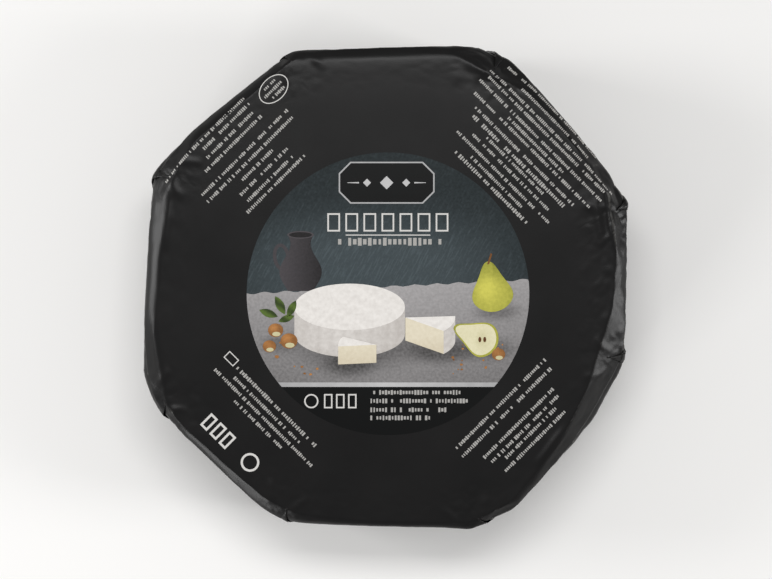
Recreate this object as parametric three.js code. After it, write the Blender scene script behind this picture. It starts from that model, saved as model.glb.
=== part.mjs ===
// A whole soft cheese of 250 g, shut in one sheet of black paper.
// The sheet lies flat over the top, turns down over the round edge and is pleated at eight corners.
// Every pleat is folded the same way round, so eight panels overlap like shingles down the wall
// and under the base, where a round label holds them. Millimetres, +Z up, resting on the label at z = 0.
import * as THREE from 'three';

// Driving sizes
const packHeight = 29;
const labelRadius = 29;
const labelThickness = 0.4;
const labelGap = 0.3;
const labelBevel = 0.1;
const topDome = 0.5;          // the middle of the top stands this much over its edge
const panelBow = 0.84;        // 1 is a straight panel, 0 an arc about the middle
const cornerSharpness = 110;  // exponent that joins the panels' lines, higher is crisper
const wallLean = 1.1;         // the wall's foot is drawn in this much
const footRadius = 2.6;
const flapStart = 1.4;        // width of a pleat where it leaves the top's edge
const flapRoot = 0.78;        // share of a panel's width where it starts to lift towards its flap
const flapGrowth = 0.34;      // share of the way down over which a flap comes to its full lift
const petalRise = 0.55;       // how far a petal's buried side lies above its open side
const petalSettle = 0.42;     // share of a petal's width over which it comes down to its neighbours
const petalFade = 0.82;       // share of the way in under the base where the petals start to level out
const shoulderShare = 0.24;   // the part of a pleat's growth that lies above the wall

// The eight panels: the way each faces in degrees, its distance from the middle, and how far in from
// its outline the paper starts to turn down.
const panels = [
  { facing: -1, reach: 54.6, setback: 5.6 },
  { facing: 41, reach: 55.8, setback: 3.4 },
  { facing: 91, reach: 54.9, setback: 3.4 },
  { facing: 128.5, reach: 55.4, setback: 2.4 },
  { facing: 178, reach: 54.8, setback: 4.8 },
  { facing: 226, reach: 55.6, setback: 2.8 },
  { facing: 269, reach: 54.0, setback: 3.4 },
  { facing: 318, reach: 54.9, setback: 5.4 },
];

// The corner after each panel: its cut, the width of its pleat at the foot and how far it stands off.
const corners = [
  { facing: 24, reach: 56.6, setback: 7.0, pleat: 9.5, lift: 1.3 },
  { facing: 60, reach: 57.8, setback: 7.4, pleat: 9.0, lift: 0.9 },
  { facing: 112, reach: 57.0, setback: 4.6, pleat: 8.5, lift: 1.2 },
  { facing: 149, reach: 57.4, setback: 6.4, pleat: 10.5, lift: 1.0 },
  { facing: 206, reach: 57.6, setback: 5.4, pleat: 9.5, lift: 1.2 },
  { facing: 244, reach: 57.2, setback: 5.0, pleat: 8.5, lift: 0.7 },
  { facing: 292, reach: 56.6, setback: 5.6, pleat: 9.0, lift: 0.9 },
  { facing: 336, reach: 55.5, setback: 7.2, pleat: 10.0, lift: 0.8 },
];

const flatDrop = 4.6;    // how far down the paper has turned upright on a panel
const cornerDrop = 7.5;  // the same at a corner, where it slopes like a facet
const flatRoundness = 1; // exponent 1 is a round turn, higher a straight slope
const cornerRoundness = 1.55;

const baseHeight = labelThickness + labelGap;
const petalInnerRadius = labelRadius - 3;
const radians = (degrees) => degrees * Math.PI / 180;
const mix = (a, b, share) => a + (b - a) * share;
const smooth = (x) => {
  const s = Math.min(1, Math.max(0, x));
  return s * s * (3 - 2 * s);
};

// How far the outline reaches in a direction: the panels' and corners' lines, joined by a power sum.
function outline(angle) {
  let sum = 0;
  for (const side of [...panels, ...corners]) {
    const turned = Math.cos(angle - radians(side.facing));
    if (turned > 0) sum += (turned ** panelBow / side.reach) ** cornerSharpness;
  }
  return sum ** (-1 / cornerSharpness);
}

// The sides in order round the pack, each knowing how much of a corner it is.
const sides = panels.flatMap((panel, k) => [
  { ...panel, cornerness: 0 },
  { ...corners[k], cornerness: 1 },
]);

// A value that glides from side to side: key is setback or cornerness.
function around(angle, key) {
  const degrees = angle * 180 / Math.PI;
  for (let i = 0; i < sides.length; i += 1) {
    const here = sides[i];
    const next = sides[(i + 1) % sides.length];
    const span = (next.facing - here.facing + 720) % 360;
    const past = (degrees - here.facing + 720) % 360;
    if (past <= span) return mix(here[key], next[key], smooth(past / span));
  }
  throw new Error('the sides leave a gap');
}

// Stations along the sheet from the middle of the top to the middle of the base.
const stations = [
  ...[0.3, 0.58, 0.8, 0.93].map((at) => ({ zone: 'top', at })),
  ...[0, 0.2, 0.4, 0.6, 0.8, 1].map((at) => ({ zone: 'shoulder', at })),
  ...[0.2, 0.45, 0.72, 1].map((at) => ({ zone: 'wall', at })),
  ...[0.35, 0.7, 1].map((at) => ({ zone: 'foot', at })),
  ...[0.25, 0.55, 0.82, 1].map((at) => ({ zone: 'base', at })),
];

// How far down the side a station is, from 0 at the top's edge to 1 at the foot.
function descent({ zone, at }) {
  if (zone === 'top') return 0;
  if (zone === 'shoulder') return shoulderShare * at;
  if (zone === 'wall') return mix(shoulderShare, 1, at);
  return 1;
}

// The point of the bare sheet at a station and angle, with the way it faces.
function sheetPoint({ zone, at }, angle) {
  const reach = outline(angle);
  const cornerness = around(angle, 'cornerness');
  const setback = around(angle, 'setback');
  const drop = mix(flatDrop, cornerDrop, cornerness);
  const power = mix(flatRoundness, cornerRoundness, cornerness);
  const edge = reach - setback;
  const edgeHeight = packHeight - topDome;
  const footTop = baseHeight + footRadius;
  const footReach = reach - wallLean - footRadius;
  if (zone === 'top') {
    return { out: edge * at, up: packHeight - topDome * at ** 2, outward: 0, upward: 1 };
  }
  if (zone === 'shoulder') {
    const turn = at * Math.PI / 2;
    return {
      out: edge + setback * Math.sin(turn) ** power,
      up: edgeHeight - drop * (1 - Math.cos(turn) ** power),
      outward: Math.sin(turn),
      upward: Math.cos(turn),
    };
  }
  if (zone === 'wall') {
    const up = mix(edgeHeight - drop, footTop, at);
    return { out: reach - wallLean * at ** 2, up, outward: 1, upward: 0 };
  }
  if (zone === 'foot') {
    const turn = at * Math.PI / 2;
    return {
      out: footReach + footRadius * Math.cos(turn),
      up: footTop - footRadius * Math.sin(turn),
      outward: Math.cos(turn),
      upward: -Math.sin(turn),
    };
  }
  return { out: mix(footReach, petalInnerRadius, at), up: baseHeight, outward: 0, upward: -1 };
}

// The direction of a pleat's free edge at a station. It leaves the corner, and under the base it runs
// straight on beside the corner's own radius.
function pleatAngle(k, station) {
  const corner = corners[k];
  const width = mix(flapStart, corner.pleat, descent(station));
  const angle = radians(corner.facing);
  const { out } = sheetPoint(station, angle);
  const across = station.zone === 'top' ? flapStart / (outline(angle) - corner.setback) : width / out;
  return angle + Math.asin(across);
}

// How far a panel stands off the bare sheet, along the way the sheet faces. share runs from 0 where the
// panel comes out from under its neighbour's pleat to 1 at its own free edge; onFlap is the part of that
// which lies past the corner, 0 to 1.
function standOff(k, station, share, onFlap) {
  const { zone, at } = station;
  const grown = smooth(descent(station) / flapGrowth);
  const flap = corners[k].lift * grown * (onFlap > 0 ? 1 : smooth((share - flapRoot) / (1 - flapRoot)));
  const buried = -petalRise * (1 - Math.min(1, share / petalSettle));
  const under = zone === 'foot' ? smooth(at) : Number(zone === 'base');
  const fade = zone === 'base' ? 1 - smooth((at - petalFade) / (1 - petalFade)) : 1;
  return zone === 'top' ? 0 : mix(flap, buried, under) * fade;
}

// The columns of one panel, as shares of its own width and of its flap's.
const panelShares = [0, 0.12, 0.25, 0.4, 0.55, 0.7, 0.8, 0.88, 0.95, 1];
const flapShares = [0.35, 0.7, 1];

function panelPoints(k, station) {
  const before = (k + corners.length - 1) % corners.length;
  const turn = k === 0 ? -2 * Math.PI : 0;
  const start = pleatAngle(before, station) + turn;
  const corner = radians(corners[k].facing);
  const end = pleatAngle(k, station);
  const points = [];
  const place = (angle, share, onFlap) => {
    const sheet = sheetPoint(station, angle);
    const off = standOff(k, station, share, onFlap);
    const out = sheet.out + sheet.outward * off;
    const up = sheet.up + sheet.upward * off;
    points.push(new THREE.Vector3(out * Math.cos(angle), out * Math.sin(angle), up));
  };
  for (const share of panelShares) place(mix(start, corner, share), share, 0);
  for (const share of flapShares) place(mix(corner, end, share), 1, share);
  return points;
}

// The whole wrapped pack as one closed mesh: rings of vertices, with a pole at the top and the base.
function wrapperGeometry() {
  const vertices = [];
  const add = (point) => vertices.push(point) - 1;
  const rings = stations.map((station) => {
    const ring = [];
    panels.forEach((_, k) => {
      panelPoints(k, station).forEach((point) => {
        const last = vertices[ring.at(-1)];
        const shared = last && last.distanceTo(point) < 1e-6;
        ring.push(shared ? ring.at(-1) : add(point));
      });
    });
    const closes = vertices[ring[0]].distanceTo(vertices[ring.at(-1)]) < 1e-6;
    if (closes) ring[ring.length - 1] = ring[0];
    return ring;
  });
  const top = add(new THREE.Vector3(0, 0, packHeight));
  const base = add(new THREE.Vector3(0, 0, baseHeight));
  const index = [];
  const face = (a, b, c) => {
    if (a !== b && b !== c && c !== a) index.push(a, b, c);
  };
  const columns = rings[0].length;
  for (let i = 0; i < columns; i += 1) {
    const next = (i + 1) % columns;
    face(top, rings[0][i], rings[0][next]);
    for (let j = 0; j + 1 < rings.length; j += 1) {
      const [upper, lower] = [rings[j], rings[j + 1]];
      face(upper[i], lower[i], lower[next]);
      face(upper[i], lower[next], upper[next]);
    }
    face(base, rings.at(-1)[next], rings.at(-1)[i]);
  }
  const geometry = new THREE.BufferGeometry();
  const coordinates = vertices.flatMap((v) => v.toArray());
  geometry.setAttribute('position', new THREE.Float32BufferAttribute(coordinates, 3));
  geometry.setIndex(index);
  geometry.computeBoundingBox();
  const middle = geometry.boundingBox.getCenter(new THREE.Vector3());
  geometry.translate(-middle.x, -middle.y, 0);
  geometry.computeVertexNormals();
  return geometry;
}

// The round label under the base, with a small bevel round each face.
function labelGeometry() {
  const rim = labelRadius - labelBevel;
  const profile = [
    [0, 0],
    [rim, 0],
    [labelRadius, labelBevel],
    [labelRadius, labelThickness - labelBevel],
    [rim, labelThickness],
    [0, labelThickness],
  ].map(([out, up]) => new THREE.Vector2(out, up));
  const geometry = new THREE.LatheGeometry(profile, 64);
  geometry.rotateX(Math.PI / 2);
  return geometry;
}

function named(name, geometry, look) {
  const mesh = new THREE.Mesh(geometry, new THREE.MeshStandardMaterial(look));
  mesh.name = name;
  return mesh;
}

const blackPaper = { color: 0x252425, roughness: 0.45, metalness: 0 };
const labelPaper = { color: 0xe9e6de, roughness: 0.6, metalness: 0 };

const pack = new THREE.Group();
pack.add(named('paper_wrapped_cheese', wrapperGeometry(), blackPaper));
pack.add(named('base_label', labelGeometry(), labelPaper));

export default pack;
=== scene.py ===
import math
import bmesh
import bpy
import numpy as np
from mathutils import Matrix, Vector


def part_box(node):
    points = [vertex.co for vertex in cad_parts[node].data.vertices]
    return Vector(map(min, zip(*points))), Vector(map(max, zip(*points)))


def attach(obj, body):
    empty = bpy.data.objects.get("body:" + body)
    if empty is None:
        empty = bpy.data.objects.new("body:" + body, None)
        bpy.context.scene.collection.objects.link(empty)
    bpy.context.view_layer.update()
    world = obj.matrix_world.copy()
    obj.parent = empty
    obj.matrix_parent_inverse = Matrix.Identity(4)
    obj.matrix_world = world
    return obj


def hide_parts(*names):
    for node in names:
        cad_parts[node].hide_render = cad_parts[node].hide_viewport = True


# A whole soft cheese shut in pleated black paper, seen from straight above.
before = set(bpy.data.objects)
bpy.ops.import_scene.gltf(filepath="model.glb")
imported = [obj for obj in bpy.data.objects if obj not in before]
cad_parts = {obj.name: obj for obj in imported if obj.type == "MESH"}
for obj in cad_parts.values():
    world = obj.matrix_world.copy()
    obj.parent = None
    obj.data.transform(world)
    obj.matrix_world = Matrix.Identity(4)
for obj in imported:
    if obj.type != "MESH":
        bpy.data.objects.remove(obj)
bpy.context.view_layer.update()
mm = 0.001
baseCorner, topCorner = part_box("paper_wrapped_cheese")
printRoom = 0.12                    # mm left free over the top for its print
packTop = topCorner.z / mm - printRoom
packBase = baseCorner.z / mm        # the paper's base, over the label
labelLow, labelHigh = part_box("base_label")


def linear(hexCode):
    # an sRGB hex colour as the linear colour that Blender mixes with
    channels = [int(hexCode[i:i + 2], 16) / 255 for i in (1, 3, 5)]
    return [c / 12.92 if c <= 0.04045 else ((c + 0.055) / 1.055) ** 2.4 for c in channels] + [1.0]


def addNode(tree, kind, inputs=None, **settings):
    # one node with its settings; an input is a value, an output, or a node whose first output is meant
    made = tree.nodes.new(kind)
    for name, value in settings.items():
        setattr(made, name, value)
    for name, value in (inputs or {}).items():
        socket = made.inputs[name]
        if isinstance(value, bpy.types.Node):
            value = value.outputs[0]
        if isinstance(value, bpy.types.NodeSocket):
            tree.links.new(value, socket)
        else:
            socket.default_value = value
    return made


def newTree(name, inputs):
    # a Geometry Nodes tree with its group nodes: inputs are (name, socket type, default)
    tree = bpy.data.node_groups.new(name, "GeometryNodeTree")
    tree.interface.new_socket("Geometry", in_out="INPUT", socket_type="NodeSocketGeometry")
    for label, kind, value in inputs:
        socket = tree.interface.new_socket(label, in_out="INPUT", socket_type=kind)
        if value is not None:
            socket.default_value = value
    tree.interface.new_socket("Geometry", in_out="OUTPUT", socket_type="NodeSocketGeometry")
    return tree, addNode(tree, "NodeGroupInput").outputs, addNode(tree, "NodeGroupOutput").inputs


def runTrees(thing, steps):
    # puts the object through Geometry Nodes trees and keeps the result as a plain mesh
    for tree, values in steps:
        modifier = thing.modifiers.new(tree.name, "NODES")
        modifier.node_group = tree
        for item in tree.interface.items_tree:
            if item.item_type == "SOCKET" and item.in_out == "INPUT" and item.name in values:
                modifier[item.identifier] = values[item.name]
    graph = bpy.context.evaluated_depsgraph_get()
    result = bpy.data.meshes.new_from_object(
        thing.evaluated_get(graph), preserve_all_data_layers=True, depsgraph=graph)
    thing.modifiers.clear()
    thing.data = result
    result.name = thing.name
    return thing


def addMesh(name, mesh, material=None):
    thing = bpy.data.objects.new(name, mesh)
    bpy.context.scene.collection.objects.link(thing)
    if material:
        mesh.materials.append(material)
    return thing


def meshOf(name, bm):
    # what was drawn, as a mesh
    mesh = bpy.data.meshes.new(name)
    bm.to_mesh(mesh)
    bm.free()
    return mesh


def newMaterial(name, roughness, specular=0.5):
    # a material with its tree and its shader's inputs
    material = bpy.data.materials.new(name)
    material.use_nodes = True
    shader = material.node_tree.nodes["Principled BSDF"].inputs
    shader["Roughness"].default_value = roughness
    shader["Specular IOR Level"].default_value = specular
    return material, material.node_tree, shader


# Camera: straight above, with the photo's framing
view = {
    "frameWidth": 772,      # pixels of the photo
    "scale": 0.2265,        # mm of the pack for each pixel, at the widest part of the wall
    "height": 700,          # mm from the camera to that part
    "beltHeight": 22,
    "centre": (0.15, -0.45),   # what the middle of the picture looks at, in mm
}


def makeCamera():
    data = bpy.data.cameras.new("camera")
    data.sensor_width = 36
    data.lens = data.sensor_width * view["height"] / (view["frameWidth"] * view["scale"])
    data.clip_start = 0.01
    camera = bpy.data.objects.new("camera", data)
    camera.location = Vector((*view["centre"], view["height"] + view["beltHeight"])) * mm
    bpy.context.scene.collection.objects.link(camera)
    bpy.context.scene.camera = camera


makeCamera()
print("camera ready")


# Studio: a plain pale floor in an even room, with low soft lights at the left, the right and the lower
# left, and one overhead at the back
studio = {
    "floorSize": 8.0,                       # metres
    "floorTone": "#f9f8f6",
    "roomTone": (0.30, 0.30, 0.303, 1),     # even light from all round
    "lights": [
        # name, place in metres, width and length in metres, watts
        ("leftBox", (-0.89, 0.12, 0.32), (0.30, 0.42), 4.2),
        ("rightBox", (0.89, -0.12, 0.32), (0.24, 0.46), 4.0),
        ("backBox", (0.0, 0.48, 1.25), (0.9, 0.30), 6.8),
        ("cornerBox", (-0.62, -0.72, 0.30), (0.26, 0.4), 3.4),
    ],
}


def makeStudio():
    mesh = bpy.data.meshes.new("floor")
    half = studio["floorSize"] / 2
    corners = [(-half, -half, 0), (half, -half, 0), (half, half, 0), (-half, half, 0)]
    mesh.from_pydata(corners, [], [(0, 1, 2, 3)])
    # matt paint on a board: pale, with no highlight
    paint, _, shader = newMaterial("matt_backdrop_paint", 0.9)
    shader["Base Color"].default_value = linear(studio["floorTone"])
    addMesh("floor", mesh, paint)

    world = bpy.data.worlds.new("room")
    world.use_nodes = True
    world.node_tree.nodes["Background"].inputs["Color"].default_value = studio["roomTone"]
    bpy.context.scene.world = world

    for name, place, (width, length), watts in studio["lights"]:
        data = bpy.data.lights.new(name, "AREA")
        data.shape = "RECTANGLE"
        data.size, data.size_y = width, length
        data.energy = watts
        light = bpy.data.objects.new(name, data)
        light.location = place
        light.rotation_euler = (-Vector(place)).to_track_quat("-Z", "Y").to_euler()
        bpy.context.scene.collection.objects.link(light)


makeStudio()
bpy.context.scene.view_settings.view_transform = "Standard"
print("studio ready")


# The wrapping: one sheet, pleated at eight corners, every pleat folded the same way round.
# Lengths in mm, angles in degrees.
wrapping = {
    "topDome": 0.5,           # the middle of the top over its edge
    "panelBow": 0.94,         # 1 is a straight panel, 0 an arc
    "cornerSharpness": 170,
    "wallLean": 1.1,          # the wall's foot is drawn in this much
    "footRadius": 2.6,
    "shoulderSlope": 0.9,     # height of the turn from the top into the wall, as a share of its width
    "shoulderShare": 0.24,    # how much of a pleat's way down the side lies on the shoulder
    "flapStart": 1.4,         # width of a pleat where it leaves the top's edge
    "flapRoot": 0.84,         # share of a panel where it starts to lift towards its flap
    "liftedBy": 0.34,         # share of the way down by which a pleat stands off in full
    "sinkOver": 0.42,         # share of a panel over which it comes out from under its neighbour
    "pocketDepth": 2.6,       # how far in under a pleat's edge the paper can be seen to go
    "foldThickness": 0.3,
    "petalRise": 0.55,        # how far a petal's buried side lies over its open side, under the base
    "petalEnd": 0.82,         # share of the base from which the petals run out under the label
    "petalInset": 3,          # they end this far in from the label's rim
    "sheetSpan": 240,         # side of the square of the sheet's own map
    # panels: the way each faces, its reach from the middle, how far in its shoulder starts, and how round
    # the shoulder is, from 1, a straight chamfer between two creases, to 2, an even turn
    "panels": [
        (-1, 54.15, 3.2, 1.4), (41, 55.3, 2.6, 1.3), (92, 54.15, 1.3, 1.9), (128.5, 55.1, 2.4, 1.25),
        (177, 54.3, 3.6, 1.7), (226, 55.4, 1.8, 1.3), (268.5, 53.65, 1.5, 1.8), (318, 54.75, 2.4, 1.25)],
    # corners: facing, reach, shoulder, its roundness, width of the pleat at the foot, lift of its flap,
    # crumpling, and how far the bevel of the outline is turned from the facing
    "corners": [
        (17, 56.5, 2.4, 1.4, 9.5, 0.25, 1.2, 14), (62, 58.1, 2.6, 1.3, 9.0, 0.4, 1.0, 0),
        (111, 57.2, 1.8, 1.3, 8.5, 0.45, 0.35, -3), (151, 56.5, 2.2, 1.3, 10.5, 0.4, 0.4, -13),
        (206, 57.9, 1.3, 1.3, 9.5, 0.6, 0.45, 0), (244, 56.8, 2.4, 1.3, 8.5, 0.4, 0.35, 0),
        (290, 57.1, 1.4, 1.3, 9.0, 0.6, 0.5, 1), (341, 55.5, 3.0, 1.3, 10.0, 0.15, 0.4, -8)],
    # facets pulled flat over the edge: the way each faces, its tilt up, its reach at the top and the
    # width over which its edges are rounded
    "facets": [
        (28, 42, 54.2, 0.15), (3, 52, 52.1, 0.15), (35, 44, 53.0, 0.15), (72, 40, 55.6, 0.15),
        (52, 42, 55.8, 0.15), (62, 57, 53.6, 0.15), (92, 66, 51.9, 0.3), (124, 42, 54.4, 0.15),
        (140, 42, 54.6, 0.15), (150, 48, 54.2, 0.15), (168, 52, 52.4, 1.0), (189, 46, 53.2, 0.6),
        (211.5, 40, 55.6, 0.15), (230, 52, 53.75, 0.15), (298, 44, 55.6, 0.15), (352, 52, 51.0, 0.15),
        (343, 58, 49.8, 0.15), (333, 43, 50.6, 0.15), (323, 43, 52.0, 0.15)],
    # folds pulled along the shoulder by a corner: where each starts and ends, as facing and reach,
    # its height and half width
    "pulls": [
        ((26, 54.8), (8, 52.4), 0.60, 1.2), ((24, 51.0), (12, 49.6), 0.26, 1.5),
        ((30, 55.6), (31.5, 52.8), 0.45, 1.0), ((57, 54.0), (69, 53.4), 0.40, 1.6),
        ((322, 50.6), (310, 52.2), 0.26, 1.3), ((158, 52.6), (170, 50.6), 0.24, 1.6)],
    # short folds on both sides of every corner, which spread from one angle to the other
    "cornerPull": {"length": 5.5, "height": 0.14, "half": 1.4, "overEdge": 0.6, "spread": (2.5, 5.5)},
    # rows of the mesh on each stretch; the top has two, with the finer one next to its edge
    "rows": {"top": (10, 30), "shoulder": 22, "wall": 30, "foot": 9, "base": 14},
    "fineFrom": 0.80,
    "columns": {"body": 64, "flap": 12, "edge": 4, "pocket": 5},
}

# Crumples in the sheet: lengths in mm, angles in degrees
crumples = {
    "facet": (6.5, 0.42),     # width and depth of the facets
    "crease": (2.4, 0.16),    # and of the finer creases on them
    "swell": (24, 0.16),      # and of the slow unevenness of the whole sheet
    "levelTo": 4,             # the swell grows from none at the base to full this far over it
    "turn": 3,                # the crumples lie this far past a corner
    "spread": 9.5,            # and fade over this angle
    "right": (-2, 20, 0.3),   # facing, spread and strength of more of them at the right
    "even": {"top": 0.16, "shoulder": 0.16, "wall": 0.5, "foot": 0.5, "base": 0.16},
    "share": {"top": 0.55, "shoulder": 1.0, "wall": 1.0, "foot": 0.7, "base": 0.4},
    "scuffs": (0.03, 0.25),   # how sharp a ridge is where its scuff starts, and how much more at its palest
    "seed": 4,
}


def smooth(x):
    s = np.clip(x, 0, 1)
    return s * s * (3 - 2 * s)


def mix(a, b, share):
    return a + (b - a) * share


def polar(reach, facing):
    # a place in the plane from its reach and its facing in degrees
    turn = math.radians(facing)
    return np.array([reach * math.cos(turn), reach * math.sin(turn)])


def turnedAway(angle, facing):
    # degrees from a facing, from -180 to 180
    return (np.degrees(angle) - facing + 540) % 360 - 180


def bySide(panelValues, cornerValues):
    # panels and corners take turns round the pack
    return np.stack([panelValues, cornerValues], 1).ravel()


panelRows = np.array(wrapping["panels"], float)
cornerRows = np.array(wrapping["corners"], float)
pleats = len(cornerRows)
sideFacings, sideReaches, sideSetbacks, sideRounds = (
    bySide(panelRows[:, i], cornerRows[:, i]) for i in range(4))
bevelFacings = bySide(panelRows[:, 0], cornerRows[:, 0] + cornerRows[:, 7])
petalInner = labelHigh.x / mm - wrapping["petalInset"]
edgeHeight = packTop - wrapping["topDome"]
footTop = packBase + wrapping["footRadius"]


def outline(angle):
    # how far the pack reaches in a direction: the lines of panels and corners, joined by a power sum
    turned = np.cos(angle[:, None] - np.radians(bevelFacings)[None, :])
    bow, sharp = wrapping["panelBow"], wrapping["cornerSharpness"]
    terms = np.where(turned > 0, (np.maximum(turned, 1e-6) ** bow / sideReaches) ** sharp, 0)
    return terms.sum(1) ** (-1 / sharp)


def around(angle, values):
    # a value for each side that glides from side to side
    degrees = np.degrees(angle) % 360
    facings = np.append(sideFacings, [sideFacings[0] + 360, sideFacings[1] + 360])
    values = np.append(values, values[:2])
    degrees = np.where(degrees < facings[0], degrees + 360, degrees)
    i = np.clip(np.searchsorted(facings, degrees, side="right") - 1, 0, len(facings) - 2)
    share = (degrees - facings[i]) / (facings[i + 1] - facings[i])
    return mix(values[i], values[i + 1], smooth(share))


def makeStations():
    # places along the sheet from the middle of the top to the middle of the base
    rows, fineFrom = wrapping["rows"], wrapping["fineFrom"]
    coarse, fine = rows["top"]
    found = [("top", t) for t in np.linspace(0, fineFrom, coarse + 1)[1:]]
    found += [("top", t) for t in np.linspace(fineFrom, 1, fine + 1)[1:-1]]
    for zone in ("shoulder", "wall", "foot"):
        found += [(zone, t) for t in np.linspace(0, 1, rows[zone] + 1)[:-1]]
    found += [("base", t) for t in np.linspace(0, 1, rows["base"] + 1)]
    return found


def descent(zone, at):
    # how far down the side: 0 at the top's edge, 1 at the foot
    if zone == "top":
        return 0.0
    if zone == "shoulder":
        return wrapping["shoulderShare"] * at
    if zone == "wall":
        return mix(wrapping["shoulderShare"], 1, at)
    return 1.0


def bareSheet(zone, at, angle):
    # out from the middle and up, with the way the sheet faces
    reach = outline(angle)
    setback = around(angle, sideSetbacks)
    edge = reach - setback
    drop = setback * wrapping["shoulderSlope"]
    lean, radius = wrapping["wallLean"], wrapping["footRadius"]
    footReach = reach - lean - radius
    even = np.ones_like(angle)
    turn = at * math.pi / 2
    if zone == "top":
        return edge * at, even * (packTop - wrapping["topDome"] * at ** 2), even * 0, even
    if zone == "shoulder":
        power = 2 / around(angle, sideRounds)
        out = edge + setback * math.sin(turn) ** power
        up = edgeHeight - drop * (1 - math.cos(turn) ** power)
        return out, up, even * math.sin(turn), even * math.cos(turn)
    if zone == "wall":
        return reach - lean * at ** 2, mix(edgeHeight - drop, footTop, at), even, even * 0
    if zone == "foot":
        up = even * (footTop - radius * math.sin(turn))
        return footReach + radius * math.cos(turn), up, even * math.cos(turn), -even * math.sin(turn)
    return mix(footReach, petalInner, at), even * packBase, even * 0, -even


def pleatAngle(k, zone, at):
    # direction of a pleat's free edge
    facing, pleat = cornerRows[k, 0], cornerRows[k, 4]
    angle = np.radians([facing])
    width = mix(wrapping["flapStart"], pleat, descent(zone, at))
    if zone == "top":
        out = outline(angle) - cornerRows[k, 2]
        width = wrapping["flapStart"]
    else:
        out = bareSheet(zone, at, angle)[0]
    return angle[0] + math.asin(width / out[0])


def standOffs(k, zone, at):
    # how far the free edge of panel k stands off the bare sheet, and how far the next panel lies in
    grown = smooth(descent(zone, at) / wrapping["liftedBy"])
    under = smooth(at) if zone == "foot" else float(zone == "base")
    petalEnd = wrapping["petalEnd"]
    fade = 1 - smooth((at - petalEnd) / (1 - petalEnd)) if zone == "base" else 1.0
    flapOff = float(mix(cornerRows[k, 5] * grown, 0, under) * fade)
    return flapOff, float(-wrapping["petalRise"] * under * fade), grown


def sheetRow(zone, at):
    # one ring of the sheet: angle, stand-off and whether it lies hidden under a pleat, for each column
    columns = wrapping["columns"]
    bodyShares = (1 - np.cos(np.linspace(0, math.pi, columns["body"]))) / 2
    bodyShares = mix(np.linspace(0, 1, columns["body"]), bodyShares, 0.5)
    flapShares = np.linspace(0, 1, columns["flap"] + 1)[1:]
    edgeTurns = np.linspace(0, math.pi, columns["edge"] + 2)[1:-1]
    pocketShares = np.linspace(0, 1, columns["pocket"])
    flapRoot = wrapping["flapRoot"]
    angles, offs, hidden = [], [], []

    def addColumns(angle, off, hide=0):
        angles.append(angle)
        offs.append(off)
        hidden.append(np.full(len(angle), float(hide)))

    for k in range(pleats):
        before = (k - 1) % pleats
        turn = 0 if k else -2 * math.pi
        corner = math.radians(cornerRows[k, 0])
        out = float(bareSheet(zone, at, np.array([corner]))[0][0])
        _, startOff, startGrown = standOffs(before, zone, at)
        flapOff, nextOff, grown = standOffs(k, zone, at)
        start = pleatAngle(before, zone, at) + turn - wrapping["pocketDepth"] * startGrown / out
        end = pleatAngle(k, zone, at)
        # the panel itself, low where it comes out from under its neighbour and lifting towards its flap
        rise = smooth((bodyShares - flapRoot) / (1 - flapRoot))
        sink = 1 - np.minimum(1, bodyShares / wrapping["sinkOver"])
        addColumns(mix(start, corner, bodyShares), startOff * sink + flapOff * rise)
        # its flap past the corner
        addColumns(mix(corner, end, flapShares), np.full(len(flapShares), flapOff))
        # round the fold and back underneath
        gap = flapOff - nextOff
        thick = min(wrapping["foldThickness"], 0.45 * gap)
        addColumns(end + np.sin(edgeTurns) * thick / 2 / out, flapOff - thick / 2 * (1 - np.cos(edgeTurns)))
        addColumns(end - wrapping["pocketDepth"] * grown / out * pocketShares,
                   mix(flapOff - thick, nextOff + 0.1 * gap, pocketShares ** 0.8), hide=1)
    return np.concatenate(angles), np.concatenate(offs), np.concatenate(hidden)


def flattenFacets(x, y, z):
    # paper pulled tight over the edge: nothing stands out past these planes
    for facing, tilt, reach, softness in wrapping["facets"]:
        t = math.radians(tilt)
        nx, ny = polar(math.cos(t), facing)
        nz = math.sin(t)
        past = x * nx + y * ny + z * nz - reach * math.cos(t) - edgeHeight * nz
        # the rounding fades to nothing a few times its softness inside the plane
        over = np.maximum(0, (past + np.hypot(past, softness)) / 2 - 0.06 * softness)
        x, y, z = x - nx * over, y - ny * over, z - nz * over
    return x, y, z


def pulledFolds(x, y, zone):
    # how high the folds that the corners pull into the top stand at each place
    raised = np.zeros_like(x)
    if zone not in ("top", "shoulder"):
        return raised
    short = wrapping["cornerPull"]
    near, far = short["spread"]
    pulls = list(wrapping["pulls"])
    for facing, reach, shoulder, _, _, _, strength, _ in cornerRows:
        length = short["length"] * (0.7 + 0.3 * strength)
        for side in (-1, 1):
            start = (facing + near * side, reach - shoulder + short["overEdge"])
            end = (facing + far * side, reach - shoulder - length)
            pulls.append((start, end, short["height"], short["half"]))
    for (startFacing, startReach), (endFacing, endReach), height, half in pulls:
        a, b = polar(startReach, startFacing), polar(endReach, endFacing)
        along = b - a
        share = ((x - a[0]) * along[0] + (y - a[1]) * along[1]) / (along @ along)
        away = np.abs((x - a[0]) * along[1] - (y - a[1]) * along[0]) / np.hypot(*along)
        taper = np.sin(math.pi * np.clip(share, 0, 1)) ** 0.7
        raised = np.maximum(raised, height * taper * smooth(1 - away / half))
    return raised


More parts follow.
